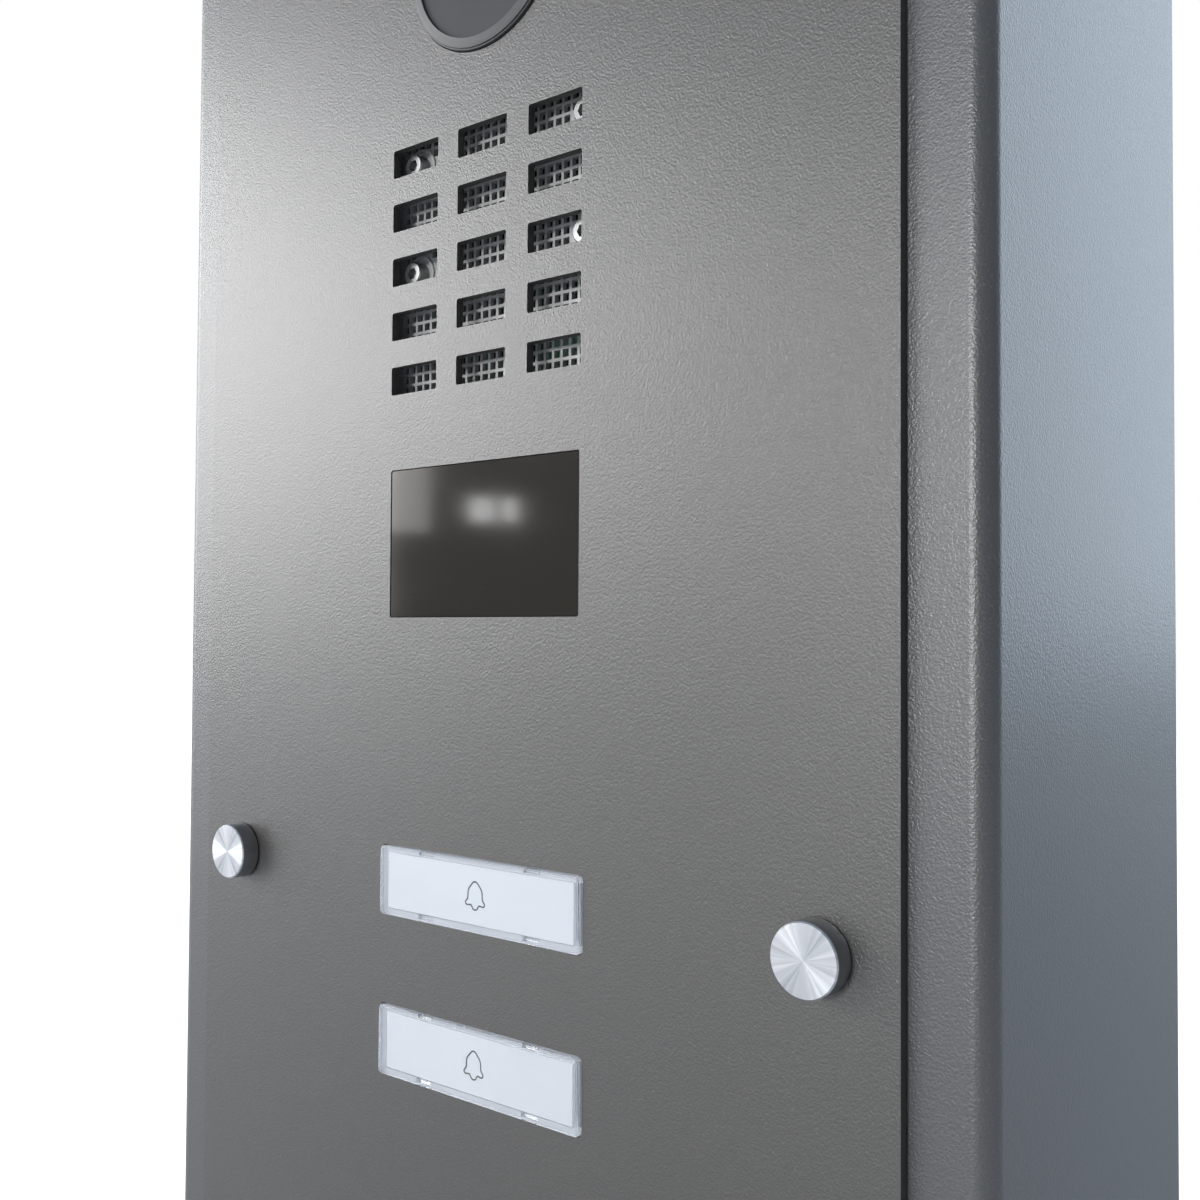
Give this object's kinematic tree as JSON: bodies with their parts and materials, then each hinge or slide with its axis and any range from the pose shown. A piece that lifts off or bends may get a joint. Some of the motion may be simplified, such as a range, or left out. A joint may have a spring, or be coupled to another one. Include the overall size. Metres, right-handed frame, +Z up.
{
  "type": "door intercom panel",
  "caption": "Surface-mounted door intercom panel: a deep folded housing, a front plate with camera, sound slots and display window, call buttons and knob screws.",
  "frame": {"origin": "centre of the back plate's rear face, which lies on the wall", "axes": "+X right and +Z up seen from the front, front faces -Y, +Y into the wall"},
  "size_m": [0.23, 0.1124, 0.43],
  "materials": {
    "powder_coat": "fine textured warm grey powder coat",
    "black_rubber": "matte",
    "black_plastic": "moulded, fine grain",
    "trim_grey": "satin grey anodised",
    "lens_window": "smoked, satin",
    "lens_glass": "coated, polished",
    "display_glass": "gloss black",
    "clear_plastic": "clear, polished edges",
    "opal_plastic": "opal, diffusing",
    "grille_grey": "moulded, satin",
    "label_paper": "white printed insert",
    "knob_aluminium": "turned face, satin side",
    "zinc_steel": "zinc plated",
    "circuit_board": "solder mask",
    "component_black": "moulded packages",
    "terminal_green": "moulded",
    "speaker_paper": "pressed paper cone",
    "magnet": "ferrite",
    "foam": "closed-cell foam"
  },
  "bodies": {
    "panel": {"housing_shell": "powder_coat", "back_plate": "powder_coat", "back_plate_screws": "zinc_steel", "rivet_nuts": "zinc_steel", "cable_grommet": "black_rubber", "earth_stud": "zinc_steel", "earth_nut": "zinc_steel", "plate_seal": "black_rubber", "front_plate": "powder_coat", "weld_studs": "zinc_steel", "module_nuts": "zinc_steel", "plate_hooks": "zinc_steel", "fixing_bushes": "zinc_steel", "knob_washers": "black_rubber", "camera_ring": "black_plastic", "camera_trim": "trim_grey", "camera_window": "lens_window", "camera_housing": "black_plastic", "camera_lens_barrel": "black_plastic", "camera_lens": "lens_glass", "camera_board": "circuit_board", "camera_board_screws": "zinc_steel", "sound_lattice": "grille_grey", "speaker_screws": "zinc_steel", "speaker_gasket": "foam", "speaker_frame": "zinc_steel", "speaker_cone": "speaker_paper", "speaker_magnet": "magnet", "microphone": "zinc_steel", "microphone_boot": "black_rubber", "display_window": "display_glass", "display_gasket": "foam", "display_module": "black_plastic", "display_bracket": "black_plastic", "button_1_frame": "black_plastic", "button_2_frame": "black_plastic", "button_1_switch": "component_black", "button_2_switch": "component_black", "button_board": "circuit_board", "button_board_screws": "zinc_steel", "main_board": "circuit_board", "main_board_parts": "component_black", "board_spacers": "zinc_steel", "rear_cover": "black_plastic", "cover_screws": "zinc_steel", "terminal_block": "terminal_green", "terminal_screws": "zinc_steel"},
    "call_button_1": {"button_1_cap": "clear_plastic", "button_1_label": "label_paper", "button_1_light_guide": "opal_plastic", "button_1_actuator": "black_plastic"},
    "call_button_2": {"button_2_cap": "clear_plastic", "button_2_label": "label_paper", "button_2_light_guide": "opal_plastic", "button_2_actuator": "black_plastic"},
    "knob_left": {"knob_left": "knob_aluminium", "knob_left_stud": "zinc_steel"},
    "knob_right": {"knob_right": "knob_aluminium", "knob_right_stud": "zinc_steel"}
  },
  "joints": [
    {"name": "call_button_1_press", "type": "slide", "parent": "panel", "child": "call_button_1", "axis": [0, 1, 0], "range_m": [0, 0.001], "stiffness_N_per_m": 1200, "springref_m": -0.0008},
    {"name": "call_button_2_press", "type": "slide", "parent": "panel", "child": "call_button_2", "axis": [0, 1, 0], "range_m": [0, 0.001], "stiffness_N_per_m": 1200, "springref_m": -0.0008},
    {"name": "knob_left_turn", "type": "hinge", "parent": "panel", "child": "knob_left", "pos_m": [-0.0842, -0.1074, -0.0717], "axis": [0, -1, 0], "continuous": true},
    {"name": "knob_right_turn", "type": "hinge", "parent": "panel", "child": "knob_right", "pos_m": [0.0842, -0.1074, -0.0717], "axis": [0, -1, 0], "continuous": true}
  ]
}
